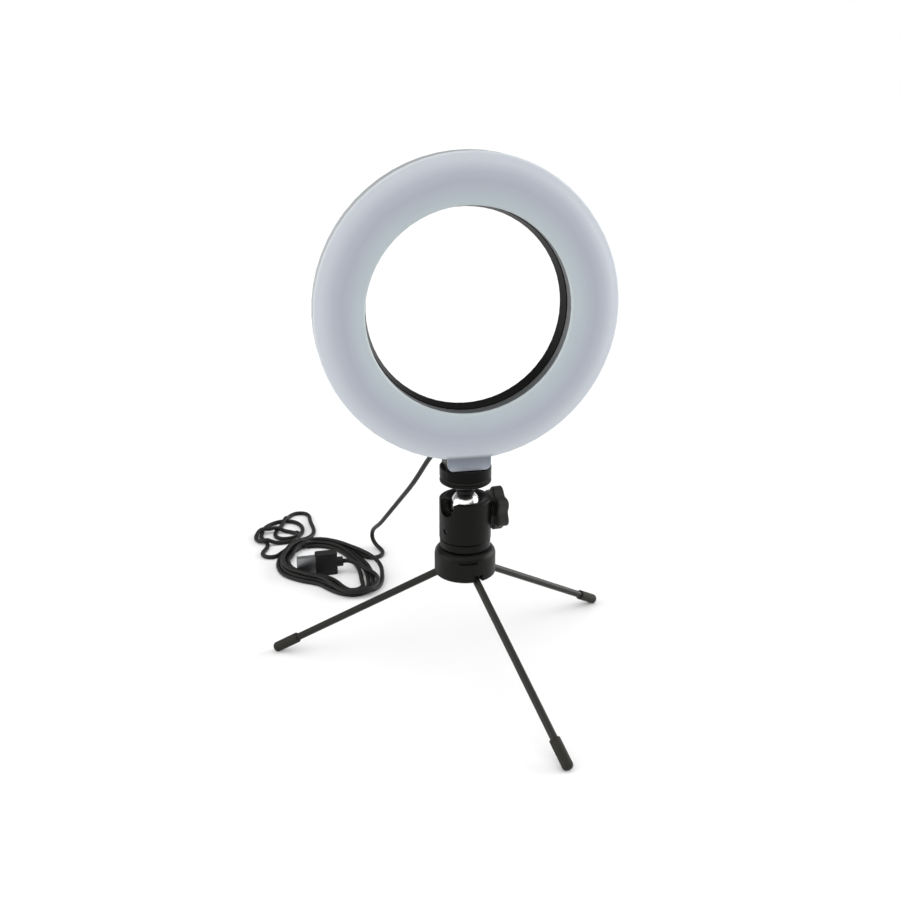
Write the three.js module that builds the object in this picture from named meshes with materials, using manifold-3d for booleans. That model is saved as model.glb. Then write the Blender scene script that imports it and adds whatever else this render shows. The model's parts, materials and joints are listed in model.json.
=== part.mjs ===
// Desktop ring light: a ring lamp on a ball head, a hub with three folding legs, and its USB cord.
// Millimetres, +Z up, the lamp faces -Y. The floor is z = 0.
// Shapes are written about the hub's vertical axis; the last group moves that axis to its place.

import * as THREE from 'three';
import Module from 'manifold-3d';
import { mergeVertices } from 'three/addons/utils/BufferGeometryUtils.js';

const wasm = await Module();
wasm.setup();

// ---------------------------------------------------------------- driving dimensions

const GAP = 0.3;                 // clearance between neighbouring pieces
const FINE = 64;                 // facets round the lamp ring
const ROUND = 40;                // facets round the ball head and hub
const SMALL = 16;                // facets round screws, rods and pins

const HUB_AXIS = { x: 4.6, y: 25.6 };   // hub axis in the object's frame, whose origin is under its middle

const RING_R = 80;               // outer radius of the lamp
const HOLE_R = 53.9;             // radius of the lamp's centre hole, at the front
const RING_Z = 210;              // height of the lamp's centre
const SKIN = 1.6;                // wall of the diffuser
const SHELL = 1.9;               // wall of the rear housing
const SKIRT_Y = 0;               // back edge of the diffuser's outer skirt
const INNER_SKIRT_Y = -2;        // back edge of the diffuser's inner skirt
const BACK_Y = 8.8;              // flat back of the rear housing
const BOARD_R = { inner: 57.5, outer: 75.6 };
const BOARD_Y = -3.2;            // front face of the LED board
const BOARD_T = 1.6;
const LED_COUNT = 30;
const MID_R = 66.5;              // circle that the LEDs and the screws stand on
const SCREW_ANGLES = [45, 135, 225, 315];

const TAB = { half: 11.8, bottom: 124.3, front: -10.4, corner: 3 };
const NECK = { half: 11.8, front: -8.1, back: 7.6, bottom: 121.2, top: 133.2 };
const COLLAR = { r: 14.3, bottom: 118, top: 124 };

const BALL = { r: 8.8, z: 100.1 };
const STEM = { core: 3.1, sleeve: 3.75, collar: 5.1 };
const PLATFORM = { r: 14.3, bottom: 114.1, top: 116.8, teeth: 40 };
const HEAD = { r: 14.5, bottom: 81.3, top: 105, bore: 9.1, mouth: 8.5, flare: 11.3 };
const SLOT = { azimuth: -151, width: 11.2, centreZ: 102.6 };
const GRUB = { azimuth: -151, z: 88, r: 1.2 };
const CLAMP = { azimuth: 8, z: 96, screw: 12.2 };
const KNOB = { r: 12.8, wave: 1.8, lobes: 6, turn: -2, inner: 15.4, outer: 21.8 };

const HUB = { r: 17.2, bottom: 60, top: 76, shoulder: 4.5, plate: 1.5 };
const STUD_R = 3.1;              // quarter-inch tripod thread
const LEG = { azimuths: { left: 162, front: -75, right: 30 }, pivotR: 8.5, slope: 30, length: 122, r: 2.1 };
const FOOT = { r: 3, length: 17, round: 2.2, plug: 2 };
const PIN = { r: 1, half: 6 };

const RELIEF = { at: [-8, BACK_Y, 138], along: [-0.12, 0.8, -0.59], root: 5, length: 16, r: 3.2, tip: 2.1 };
const CORD_R = 1.5;

const PLUG = { at: [-77, 133], turn: 3, shell: [12.5, 4.5, 12], grip: [15, 7.8, 15.6], boss: 3.4 };
const BUTTON = { angles: [289, 300], r: 3, rise: 1.2 };
const HANK_TOP = 9.5;            // height of the wound hank
const HANK_HALF = 5;             // half the width of its strands, side by side
const LOOPS_TOP = 6.5;           // the same for the loose loops
const LOOPS_HALF = 4.2;

// Route of the cord's hanging stretch, from the strain relief down to the fold it keeps above the floor
const HANGING = [
  [-13, 40, 114.3],
  [-18.2, 66, 89.7],
  [-22.7, 100, 64],
  [-26.4, 126, 44.3],
  [-29.4, 150, 26.8],
];
const FOLD = {
  y: 165, z: 8.8, r: 7,
  angles: [57, 22, -14, -50, -88],
  x: [-31.2, -32.4, -33, -31.5, -28.6],
};
const LANDED = [[-27, 159.6], [-27.8, 154.4]];

// Middle of the wound hank, a bean round the plug, as seen from above
const HANK = [
  [-45, 153], [-56, 170], [-72, 180], [-89, 172], [-98, 155], [-98, 137],
  [-89, 120], [-75, 111], [-65, 102], [-54, 93], [-41, 99], [-36, 117], [-38, 138],
];
const JOINS_AT = 0.975;          // where the lead meets the hank, as a portion of the way round
const TAIL_AT = 0.93;            // and where the plug's tail leaves it

// Middle of the loose loops behind it
const LOOPS = [
  [-81, 193], [-73, 206], [-73, 222], [-81, 236],
  [-98, 229], [-111, 216], [-110, 200], [-97, 192],
];

// ---------------------------------------------------------------- shapes

const rad = THREE.MathUtils.degToRad;

// A geometry of positions only, with points in one place merged and empty faces dropped
function weld(geometry) {
  const bare = geometry.index ? geometry.toNonIndexed() : geometry.clone();
  for (const name of Object.keys(bare.attributes)) {
    if (name !== 'position') bare.deleteAttribute(name);
  }
  const merged = mergeVertices(bare, 1e-4);
  const index = merged.index.array;
  const kept = [];
  for (let i = 0; i < index.length; i += 3) {
    const [a, b, c] = [index[i], index[i + 1], index[i + 2]];
    if (a !== b && b !== c && c !== a) kept.push(a, b, c);
  }
  merged.setIndex(kept);
  return merged;
}

function solid(geometry) {
  const closed = weld(geometry);
  const vertProperties = new Float32Array(closed.attributes.position.array);
  const triVerts = new Uint32Array(closed.index.array);
  return new wasm.Manifold(new wasm.Mesh({ numProp: 3, vertProperties, triVerts }));
}

function geometryOf(body) {
  const { numProp, vertProperties, triVerts } = body.getMesh();
  const geometry = new THREE.BufferGeometry();
  const points = new Float32Array((vertProperties.length / numProp) * 3);
  for (let i = 0; i < points.length / 3; i++) {
    for (let k = 0; k < 3; k++) points[3 * i + k] = vertProperties[numProp * i + k];
  }
  geometry.setAttribute('position', new THREE.BufferAttribute(points, 3));
  geometry.setIndex(new THREE.BufferAttribute(new Uint32Array(triVerts), 1));
  return geometry;
}

function join(...shapes) {
  return geometryOf(shapes.map(solid).reduce((all, next) => all.add(next)));
}

function cut(base, ...tools) {
  return geometryOf(tools.map(solid).reduce((left, tool) => left.subtract(tool), solid(base)));
}

// Revolve an outline of [radius, height] round Y, whichever way round it is listed
function revolve(outline, segments) {
  const points = outline.map(([r, y]) => new THREE.Vector2(r, y));
  if (THREE.ShapeUtils.area(points) < 0) points.reverse();
  const closed = points[0].x > 1e-6 || points.at(-1).x > 1e-6;
  if (closed) points.push(points[0].clone());
  return weld(new THREE.LatheGeometry(points, segments));
}

// The same round Z
function turned(outline, segments = ROUND) {
  return revolve(outline, segments).rotateX(Math.PI / 2);
}

function disc(r, z0, z1, segments = SMALL) {
  return turned([[0, z0], [r, z0], [r, z1], [0, z1]], segments);
}

function box(x0, x1, y0, y1, z0, z1) {
  const shape = new THREE.BoxGeometry(x1 - x0, y1 - y0, z1 - z0);
  return shape.translate((x0 + x1) / 2, (y0 + y1) / 2, (z0 + z1) / 2);
}

// Points on a circular arc, angles in degrees
function arc(cx, cy, r, from, to, steps) {
  return Array.from({ length: steps + 1 }, (_, i) => {
    const a = rad(from + ((to - from) * i) / steps);
    return [cx + r * Math.cos(a), cy + r * Math.sin(a)];
  });
}

// Points from a to b on an arc that bulges to the right of the straight line by height, or left if it is negative
function bow(a, b, height, steps) {
  const [dx, dy] = [b[0] - a[0], b[1] - a[1]];
  const chord = Math.hypot(dx, dy);
  const r = (chord * chord / 4 + height * height) / (2 * height);
  const [nx, ny] = [dy / chord, -dx / chord];
  const [cx, cy] = [(a[0] + b[0]) / 2 - nx * (r - height), (a[1] + b[1]) / 2 - ny * (r - height)];
  const start = Math.atan2(a[1] - cy, a[0] - cx);
  let sweep = Math.atan2(b[1] - cy, b[0] - cx) - start;
  if (sweep > Math.PI) sweep -= 2 * Math.PI;
  if (sweep < -Math.PI) sweep += 2 * Math.PI;
  return Array.from({ length: steps + 1 }, (_, i) => {
    const t = start + (sweep * i) / steps;
    return [cx + Math.abs(r) * Math.cos(t), cy + Math.abs(r) * Math.sin(t)];
  });
}

// An outline in X and Y raised from z0 to z1
function raised(outline, z0, z1, holes = []) {
  const flat = (points) => points.map(([x, y]) => new THREE.Vector2(x, y));
  const shape = new THREE.Shape(flat(outline));
  for (const hole of holes) shape.holes.push(new THREE.Path(flat(hole)));
  const body = new THREE.ExtrudeGeometry(shape, { depth: z1 - z0, bevelEnabled: false });
  return weld(body.translate(0, 0, z0));
}

// A block with its upright edges rounded
function roundedBox(length, width, corner, z0, z1) {
  const [x, y] = [length / 2 - corner, width / 2 - corner];
  const corners = [[x, y, 0], [-x, y, 90], [-x, -y, 180], [x, -y, 270]];
  return raised(corners.flatMap(([cx, cy, a]) => arc(cx, cy, corner, a, a + 90, 4)), z0, z1);
}

// A piece made along +X, turned to point at an azimuth
function aimed(geometry, azimuth) {
  return geometry.rotateZ(rad(azimuth));
}

// A rod along +X from x0 to x1
function rod(r, x0, x1, segments = SMALL) {
  return disc(r, x0, x1, segments).rotateY(Math.PI / 2);
}

// A piece made along +Z, set at a point along a direction
function along(geometry, point, direction) {
  const axis = new THREE.Vector3(...direction).normalize();
  geometry.applyQuaternion(new THREE.Quaternion().setFromUnitVectors(new THREE.Vector3(0, 0, 1), axis));
  return geometry.translate(...point);
}

// ---------------------------------------------------------------- materials and nodes

const finishes = {
  black_plastic: { color: 0x1c1c1a, roughness: 0.5, metalness: 0 },
  milky_plastic: { color: 0xdfe2e8, roughness: 0.55, metalness: 0 },
  board: { color: 0xf0f0ea, roughness: 0.6, metalness: 0 },
  chrome: { color: 0xd8dadd, roughness: 0.12, metalness: 1 },
  steel: { color: 0x8f9194, roughness: 0.35, metalness: 1 },
  brass: { color: 0xb59a55, roughness: 0.35, metalness: 1 },
  black_aluminium: { color: 0x232321, roughness: 0.38, metalness: 0.4 },
  black_rubber: { color: 0x191917, roughness: 0.75, metalness: 0 },
  nylon: { color: 0xe8e6dc, roughness: 0.5, metalness: 0 },
};

const root = new THREE.Group();
root.position.set(HUB_AXIS.x, HUB_AXIS.y, 0);

function add(name, geometry, finish, parent = root) {
  const mesh = new THREE.Mesh(weld(geometry), new THREE.MeshStandardMaterial(finishes[finish]));
  mesh.name = name;
  parent.add(mesh);
  return mesh;
}

// ---------------------------------------------------------------- the lamp, about its own centre

const lamp = new THREE.Group();
lamp.position.z = RING_Z;
root.add(lamp);

// A post along Y on the screw circle, at an angle round the lamp
function post(r, angle, y0, y1, segments = 12) {
  const [x, z] = onCircle(angle);
  return disc(r, y0, y1, segments).rotateX(-Math.PI / 2).translate(x, 0, z);
}

// A point on the screw circle at an angle round the lamp
function onCircle(angle) {
  return [MID_R * Math.cos(rad(angle)), MID_R * Math.sin(rad(angle))];
}

// A block across the foot of the lamp, its heights given from the floor
function neckBlock(half, y0, y1, z0, z1) {
  return box(-half, half, y0, y1, z0 - RING_Z, z1 - RING_Z);
}

// Milky cover: a shallow bulging face with two skirts, screw bosses behind it, and the tab at its foot
function diffuser() {
  const faceOuter = [RING_R - 1.4, -10];
  const faceInner = [HOLE_R + 1.5, -10.8];
  const outside = [
    [RING_R, SKIRT_Y],
    ...arc(RING_R - 1.5, -8.5, 1.5, 0, -80, 3),
    ...bow(faceOuter, faceInner, -3, 8),
    ...arc(HOLE_R + 1.5, -9.3, 1.5, -100, -180, 3),
    [HOLE_R, INNER_SKIRT_Y],
  ];
  const inside = [
    [HOLE_R + SKIN, INNER_SKIRT_Y],
    [HOLE_R + SKIN, -9],
    ...bow([HOLE_R + 2.6, -9.5], [RING_R - 2.8, -8.6], 2.7, 5),
    [RING_R - SKIN, -7.6],
    [RING_R - SKIN, SKIRT_Y],
  ];
  const ring = revolve([...outside, ...inside], FINE);
  const { half, front } = TAB;
  const trimmed = cut(ring, neckBlock(half + GAP, front + 2, 5, 120, 133.5));
  const bosses = SCREW_ANGLES.map((a) => cut(post(2.4, a, -11.6, -1.2), post(1.1, a, -8, 0)));
  return join(trimmed, cut(tab(), lampInterior()), ...bosses);
}

// Flat tab that hangs from the diffuser's face, its lower corners rounded
function tab() {
  const { half, bottom, front, corner } = TAB;
  const lower = bottom - RING_Z;
  const outline = [
    [half, 4 - RING_R + 0.2],
    [-half, 4 - RING_R + 0.2],
    ...arc(-half + corner, lower + corner, corner, 180, 270, 4),
    ...arc(half - corner, lower + corner, corner, 270, 360, 4),
  ];
  return raised(outline, 0, 2).rotateX(Math.PI / 2).translate(0, front + 2, 0);
}

// The air space between the diffuser's face and the LED board
function lampInterior() {
  return revolve([[57, -9], [57, -4], [RING_R - 3.6, -4], [RING_R - 3.6, -9]], FINE);
}

// Trough that closes the lamp's back
function trough() {
  const outside = [
    [RING_R - 0.4, SKIRT_Y + GAP],
    ...bow([RING_R - 0.6, 2], [RING_R - 8, BACK_Y], 1.9, 5),
    ...bow([HOLE_R + 6.5, BACK_Y], [HOLE_R - 2, 4.8], 1.1, 4),
    [HOLE_R - 0.4, INNER_SKIRT_Y + GAP],
  ];
  const inside = [
    [HOLE_R - 0.4 + SHELL, INNER_SKIRT_Y + GAP],
    [HOLE_R - 2 + SHELL, 4.6],
    [HOLE_R + 6.2, BACK_Y - SHELL],
    [RING_R - 8, BACK_Y - SHELL],
    [RING_R - 3.2, 2.4],
    [RING_R - 3.4, -2.6],
    [RING_R - SKIN - GAP, -2.6],
    [RING_R - SKIN - GAP, SKIRT_Y + GAP],
  ];
  return revolve([...outside, ...inside], FINE);
}

// Round cup under the neck, coaxial with the ball's stem
function neckCup() {
  const { r, bottom, top } = COLLAR;
  const outline = [
    [0, bottom], [r - 0.3, bottom], [r, bottom + 0.3],
    [r, top - 0.5], [r - 0.5, top], [0, top],
  ];
  return turned(outline).translate(0, 0, -RING_Z);
}

function rearHousing() {
  const { half, front, back, bottom, top } = NECK;
  const neck = neckBlock(half, front, back, bottom, top);
  const posts = SCREW_ANGLES.map((a) => post(3.4, a, -0.9, BACK_Y - 0.8));
  const body = join(trough(), neck, neckCup(), ...posts);
  const socket = disc(4.9, COLLAR.bottom - 1, 128.3, ROUND / 2).translate(0, 0, -RING_Z);
  const wells = SCREW_ANGLES.map((a) => post(2.3, a, BACK_Y - 1.9, BACK_Y + 1));
  const holes = SCREW_ANGLES.map((a) => post(1.25, a, -3, BACK_Y));
  const outlet = along(disc(RELIEF.r + GAP, -RELIEF.root - 3, 6), RELIEF.at, RELIEF.along);
  const buttonHoles = BUTTON.angles.map((a) => post(BUTTON.r + GAP, a, 5, BACK_Y + 1, 24));
  return cut(body, socket, ...wells, ...holes, ...buttonHoles, outlet.translate(0, 0, -RING_Z));
}

// Ring-shaped board with its LEDs
function ledBoard() {
  const { inner, outer } = BOARD_R;
  const back = BOARD_Y + BOARD_T;
  const plate = revolve([[inner, BOARD_Y], [outer, BOARD_Y], [outer, back], [inner, back]], FINE);
  const leds = Array.from({ length: LED_COUNT }, (_, i) => {
    const led = box(MID_R - 1.75, MID_R + 1.75, BOARD_Y - 0.8, BOARD_Y + 0.2, -1.4, 1.4);
    return led.rotateY(-rad((360 * (i + 0.5)) / LED_COUNT));
  });
  const holes = SCREW_ANGLES.map((a) => post(2.8, a, -6, 2));
  return cut(join(plate, ...leds), ...holes);
}

// Pan-head screw driven in from the back, its cross slot cut in the head
function housingScrew(angle) {
  const head = post(2, angle, BACK_Y - 1.6, BACK_Y - 0.3, SMALL);
  const shank = post(0.85, angle, -6, BACK_Y - 1.4);
  const [x, z] = onCircle(angle);
  const slots = [[1.3, 0.25], [0.25, 1.3]].map(([w, h]) => (
    box(x - w, x + w, BACK_Y - 0.9, BACK_Y, z - h, z + h)
  ));
  return cut(join(head, shank), ...slots);
}

// Tapered sleeve where the cord leaves the housing
function strainRelief() {
  const { root: depth, length, r, tip } = RELIEF;
  const outline = [[0, -depth], [r, -depth], [r, 2], [r - 0.35, 2.6], [tip, length], [0, length]];
  return along(turned(outline, SMALL), RELIEF.at, RELIEF.along);
}

// Push-button in the housing's back, held in by its flange
function button(angle) {
  const cap = post(BUTTON.r, angle, 5.4, BACK_Y + BUTTON.rise, 24);
  const crown = post(BUTTON.r - 0.4, angle, BACK_Y, BACK_Y + BUTTON.rise + 0.3, 24);
  const flange = post(BUTTON.r + 1, angle, 5.4, 6.3, 24);
  return join(cap, crown, flange);
}

// Small board under the buttons, with a switch for each and pegs on which it stands
function switchBoard() {
  const middle = (BUTTON.angles[0] + BUTTON.angles[1]) / 2;
  const [cx, cz] = onCircle(middle);
  const plate = box(-11, 11, 1.2, 2.4, -4, 4).rotateY(-rad(middle + 90)).translate(cx, 0, cz);
  const switches = BUTTON.angles.flatMap((a) => [post(2.6, a, 2, 4.2, 8), post(1.2, a, 4, 4.7, 12)]);
  return join(plate, ...switches);
}

function buildLamp() {
  add('diffuser', diffuser(), 'milky_plastic', lamp);
  add('rear_housing', rearHousing(), 'black_plastic', lamp);
  add('led_board', ledBoard(), 'board', lamp);
  SCREW_ANGLES.forEach((a, i) => add(`housing_screw_${i + 1}`, housingScrew(a), 'steel', lamp));
  add('strain_relief', strainRelief(), 'black_rubber');
  add('power_button', button(BUTTON.angles[0]), 'black_rubber', lamp);
  add('dimmer_button', button(BUTTON.angles[1]), 'black_rubber', lamp);
  add('switch_board', switchBoard(), 'board', lamp);
  const insert = [[3.4, COLLAR.bottom + GAP], [4.6, COLLAR.bottom + GAP], [4.6, 128], [3.4, 128]];
  add('neck_insert', turned(insert, 24), 'brass');
}

// ---------------------------------------------------------------- the ball head

// Polished ball, its neck and the stud above it, in one piece
function ballStud() {
  const { r, z } = BALL;
  const neckAngle = (Math.acos(STEM.core / r) * 180) / Math.PI;
  const sphere = arc(0, z, r, -90, neckAngle, 13);
  const stud = [[STEM.core, 124.5], [STEM.core - 0.6, 125.2], [0, 125.2]];
  return turned([[0, z - r], ...sphere.slice(1), ...stud], 32);
}

// Sleeve on the stem, with a flange just above the ball
function stemCollar() {
  const inner = STEM.core + GAP;
  const top = PLATFORM.bottom - GAP;
  const foot = BALL.z + 7.8;
  const outline = [
    [inner, foot + 0.7], [STEM.collar, foot], [STEM.collar, foot + 2], [STEM.sleeve, foot + 2.5],
    [STEM.sleeve, top], [inner, top],
  ];
  return turned(outline, 32);
}

// Disc under the lamp's cup, its rim knurled
function platformDisc() {
  const { r, bottom, top, teeth } = PLATFORM;
  const rim = Array.from({ length: teeth * 2 }, (_, i) => {
    const a = (Math.PI * i) / teeth;
    const out = r - (i % 2) * 0.3;
    return [out * Math.cos(a), out * Math.sin(a)];
  });
  const knurled = raised(rim, bottom + 0.9, top - 0.3);
  const core = turned([[0, bottom], [r - 1.5, bottom], [r - 0.5, bottom + 0.8], [r - 0.5, top], [0, top]]);
  return cut(join(knurled, core), disc(STEM.core + GAP, bottom - 1, top + 1, 24));
}

function platformPad() {
  const [z0, z1] = [PLATFORM.top + GAP, COLLAR.bottom - GAP];
  const r = PLATFORM.r - 0.4;
  return turned([[3.8, z0], [r, z0], [r, z1], [3.8, z1]]);
}

// Barrel of the ball head: a lip that holds the ball, a flared mouth, and the slot that the stem drops into
function headBody() {
  const { r, bottom, top, bore, mouth, flare } = HEAD;
  const seatTop = BALL.z + Math.sqrt(BALL.r ** 2 - mouth ** 2);
  const outline = [
    [bore, bottom], [r - 0.5, bottom], [r, bottom + 0.5], [r, top - 0.5], [r - 0.5, top], [flare, top],
    [mouth, seatTop + 0.8], [bore, seatTop - 1.2],
  ];
  const { azimuth, width, centreZ } = SLOT;
  const slotRound = rod(width / 2, 4, r + 2, 24).translate(0, 0, centreZ);
  const slotTop = box(4, r + 2, -width / 2, width / 2, centreZ, top + 2);
  const slot = aimed(join(slotRound, slotTop), azimuth);
  const clampHole = aimed(rod(2.6, 5, r + 2).translate(0, 0, CLAMP.z), CLAMP.azimuth);
  const grubHole = aimed(rod(GRUB.r + GAP, 5, r + 2).translate(0, 0, GRUB.z), GRUB.azimuth);
  return cut(turned(outline), slot, clampHole, grubHole);
}

// Base of the ball head, whose boss stands inside the barrel
function headBase() {
  const { bottom, bore } = HEAD;
  const r = HEAD.r - 0.3;
  const [z0, z1] = [HUB.top + GAP, bottom - GAP];
  const outline = [
    [0, z0], [r - 0.6, z0], [r, z0 + 0.6], [r, z1 - 0.5], [r - 0.5, z1], [bore - GAP, z1],
    [bore - GAP, 89.6], [6.6, 89.6], [6.6, 88], [0, 88],
  ];
  const thread = disc(STUD_R + GAP, z0 - 1, 85.3, 24);
  const flat = aimed(box(bore - 1.6, bore + 2, -3, 3, bottom + 1, 92), GRUB.azimuth);
  return cut(turned(outline), thread, flat);
}

// Nylon cup that the ball turns in
function ballSeat() {
  const hollow = BALL.r + GAP;
  const outer = HEAD.bore - GAP;
  const cup = arc(0, BALL.z, hollow, -29.6, -67.4, 5);
  return turned([[3.5, 88.3], [6.3, 88.3], [6.3, 89.9], [outer, 89.9],
    [outer, BALL.z - 4.5], ...cup], 32);
}

function grubScrew() {
  const body = rod(GRUB.r, 7.8, 13.4);
  const socket = rod(0.6, 11.8, 14.4, 6);
  return aimed(cut(body, socket).translate(0, 0, GRUB.z), GRUB.azimuth);
}

function clampScrew() {
  return aimed(rod(2.3, CLAMP.screw, KNOB.inner + 3.5).translate(0, 0, CLAMP.z), CLAMP.azimuth);
}

function pressurePad() {
  return aimed(rod(2.1, 9.25, 11.1).translate(0, 0, CLAMP.z), CLAMP.azimuth);
}

// Lobed knob with a dished outer face
function clampKnob() {
  const { r, wave, lobes, turn, inner, outer } = KNOB;
  const rim = Array.from({ length: lobes * 9 }, (_, i) => {
    const a = (2 * Math.PI * i) / (lobes * 9);
    const out = r - wave * (1 - Math.cos(lobes * (a - rad(turn)))) / 1.2;
    return [out * Math.cos(a), out * Math.sin(a)];
  });
  const inset = rim.map(([x, y]) => [x * 0.95, y * 0.95]);
  const grip = join(raised(rim, inner + 0.8, outer - 0.6), raised(inset, inner + 0.2, outer));
  const boss = disc(4.2, HEAD.r + 0.4, inner + 1, 24);
  const bore = disc(2.3 + GAP, HEAD.r, inner + 3.8, SMALL);
  const dish = turned([[0, outer - 0.9], [6.2, outer - 0.9], [7, outer + 1], [0, outer + 1]], 32);
  const knob = cut(join(grip, boss), bore, dish).rotateY(Math.PI / 2);
  return aimed(knob.translate(0, 0, CLAMP.z), CLAMP.azimuth);
}

function buildHead() {
  add('ball_stud', ballStud(), 'chrome');
  add('stem_collar', stemCollar(), 'black_aluminium');
  add('platform_disc', platformDisc(), 'black_aluminium');
  add('platform_pad', platformPad(), 'black_rubber');
  add('head_body', headBody(), 'black_aluminium');
  add('head_base', headBase(), 'black_aluminium');
  add('ball_seat', ballSeat(), 'nylon');
  add('grub_screw', grubScrew(), 'steel');
  add('clamp_knob', clampKnob(), 'black_plastic');
  add('clamp_screw', clampScrew(), 'steel');
  add('pressure_pad', pressurePad(), 'nylon');
}

// ---------------------------------------------------------------- the hub and legs

// The leg's end stands on the floor: its pivot height follows from its length and slope
const slope = rad(LEG.slope);
const reach = LEG.length - FOOT.round;
const PIVOT_Z = reach * Math.sin(slope) + (FOOT.r - FOOT.round) * Math.cos(slope) + FOOT.round;

// Slot that a leg swings in, along +X
function legSlot(z0, z1) {
  const half = LEG.r + GAP;
  return box(LEG.pivotR - 3.3, HUB.r + 3, -half, half, z0, z1);
}

// Room for the leg's eye, inside the slot's lower, outer mouth
function eyeRoom() {
  const half = LEG.r + GAP;
  return box(LEG.pivotR - 3.3, LEG.pivotR + 3.3, -half, half, PIVOT_Z - 4, PIVOT_Z + 3.2);
}

// Short groove in the hub's front
function hubMark() {
  const { r } = HUB;
  const notch = turned([[r - 1, 71.2], [r + 2, 71.2], [r + 2, 72.5], [r - 1, 72.5]], ROUND);
  const window = box(8, r + 3, -5, 5, 70, 74).rotateZ(rad(-95));
  return geometryOf(solid(notch).intersect(solid(window)));
}

// Seat for a leg's pin, open from below
function pinSeat(floor) {
  const half = PIN.half + GAP;
  const well = box(-1.3, 1.3, -half, half, floor - 1, PIVOT_Z);
  const round = rod(1.3, -half, half).rotateZ(Math.PI / 2).translate(0, 0, PIVOT_Z);
  return join(well, round).translate(LEG.pivotR, 0, 0);
}

// Hub with a rounded shoulder, hollowed for the legs' eyes, pins and screws
function hubBody() {
  const { r, bottom, top, shoulder, plate } = HUB;
  const floor = bottom + plate + GAP;
  const outline = [
    [0, floor], [r - 1.6, floor], [r - 1.6, bottom + 0.2], [r - 0.5, bottom + 0.2], [r, bottom + 0.7],
    ...arc(r - shoulder, top - shoulder, shoulder, 0, 78, 7), [0, top],
  ];
  const tools = [
    disc(STUD_R + GAP, 67.7, top + 1, 24),
    disc(1.75, floor - 1, 66.4, SMALL),
  ];
  for (const azimuth of Object.values(LEG.azimuths)) {
    tools.push(aimed(legSlot(bottom - 1, 64.2), azimuth));
    tools.push(aimed(eyeRoom(), azimuth));
    tools.push(aimed(pinSeat(floor), azimuth));
  }
  return cut(turned(outline), ...tools, hubMark());
}

function hubPlate() {
  const { r, bottom, plate } = HUB;
  const top = bottom + plate;
  const outline = [[0, bottom], [r - 2.2, bottom], [r - 1.9, bottom + 0.3], [r - 1.9, top], [0, top]];
  const slots = Object.values(LEG.azimuths).map((a) => aimed(legSlot(bottom - 1, top + 1), a));
  const well = turned([[0, bottom - 1], [3.1, bottom - 1], [3.1, bottom + 0.1], [1.8, bottom + 1.2],
    [1.8, bottom + 3], [0, bottom + 3]], 24);
  return cut(turned(outline), ...slots, well);
}

function plateScrew() {
  const { bottom } = HUB;
  const outline = [[0, bottom + 0.15], [2.6, bottom + 0.15], [1.45, bottom + 1.3], [1.45, 66.1], [0, 66.1]];
  const slots = [[1.6, 0.3], [0.3, 1.6]].map(([w, h]) => box(-w, w, -h, h, bottom - 1, bottom + 0.7));
  return cut(turned(outline, SMALL), ...slots);
}

// One leg, made along +X from its pivot and sloping down to the floor
function legRod() {
  const tip = LEG.length - FOOT.plug - GAP;
  const bar = rod(LEG.r, 0, tip, 24);
  const eye = rod(2.9, -LEG.r, LEG.r, 24).rotateZ(Math.PI / 2);
  const bore = rod(PIN.r + GAP, -5, 5).rotateZ(Math.PI / 2);
  return cut(join(bar, eye), bore);
}

function legFoot() {
  const { r, length, round, plug } = FOOT;
  const [x0, x1] = [LEG.length - length, LEG.length];
  const bore = LEG.r + GAP;
  const outline = [
    [bore, x0], [r - 0.4, x0], [r, x0 + 0.4], ...arc(r - round, x1 - round, round, 0, 90, 4),
    [0, x1], [0, x1 - plug], [bore, x1 - plug],
  ];
  return turned(outline, 24).rotateY(Math.PI / 2);
}

function buildLegs() {
  for (const [side, azimuth] of Object.entries(LEG.azimuths)) {
    const turn = new THREE.Group();
    turn.rotation.z = rad(azimuth);
    root.add(turn);
    const pivot = new THREE.Group();
    pivot.position.set(LEG.pivotR, 0, PIVOT_Z);
    turn.add(pivot);
    const leg = new THREE.Group();
    leg.rotation.y = slope;
    pivot.add(leg);
    add(`leg_rod_${side}`, legRod(), 'black_aluminium', leg);
    add(`leg_foot_${side}`, legFoot(), 'black_rubber', leg);
    const pin = rod(PIN.r, -PIN.half, PIN.half).rotateZ(Math.PI / 2);
    add(`leg_pin_${side}`, pin, 'steel', pivot);
  }
}

function tripodStud() {
  return turned([[0, 68], [STUD_R, 68], [STUD_R, 84.4], [STUD_R - 0.6, 85], [0, 85]], 24);
}

function buildTripod() {
  add('hub_body', hubBody(), 'black_aluminium');
  add('hub_plate', hubPlate(), 'black_plastic');
  add('plate_screw', plateScrew(), 'steel');
  add('tripod_stud', tripodStud(), 'steel');
  buildLegs();
}

// ---------------------------------------------------------------- the cord and what is on it

// A smooth curve through points, open or closed
function curve(points, closed) {
  const vectors = points.map(([x, y, z = 0]) => new THREE.Vector3(x, y, z));
  return new THREE.CatmullRomCurve3(vectors, closed, 'centripetal');
}

// Plain tube of the cord's diameter
function tube(points, steps) {
  const corners = arc(0, 0, CORD_R, 22.5, 337.5, 7).map(([x, y]) => new THREE.Vector2(x, y));
  const section = new THREE.Shape(corners);
  const route = curve(points, false);
  return new THREE.ExtrudeGeometry(section, { steps, extrudePath: route, bevelEnabled: false });
}

// A point beyond the strain relief's tip
function reliefTip(extra) {
  const axis = new THREE.Vector3(...RELIEF.along).normalize();
  const point = new THREE.Vector3(...RELIEF.at).addScaledVector(axis, RELIEF.length + extra);
  return point.toArray();
}

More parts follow.
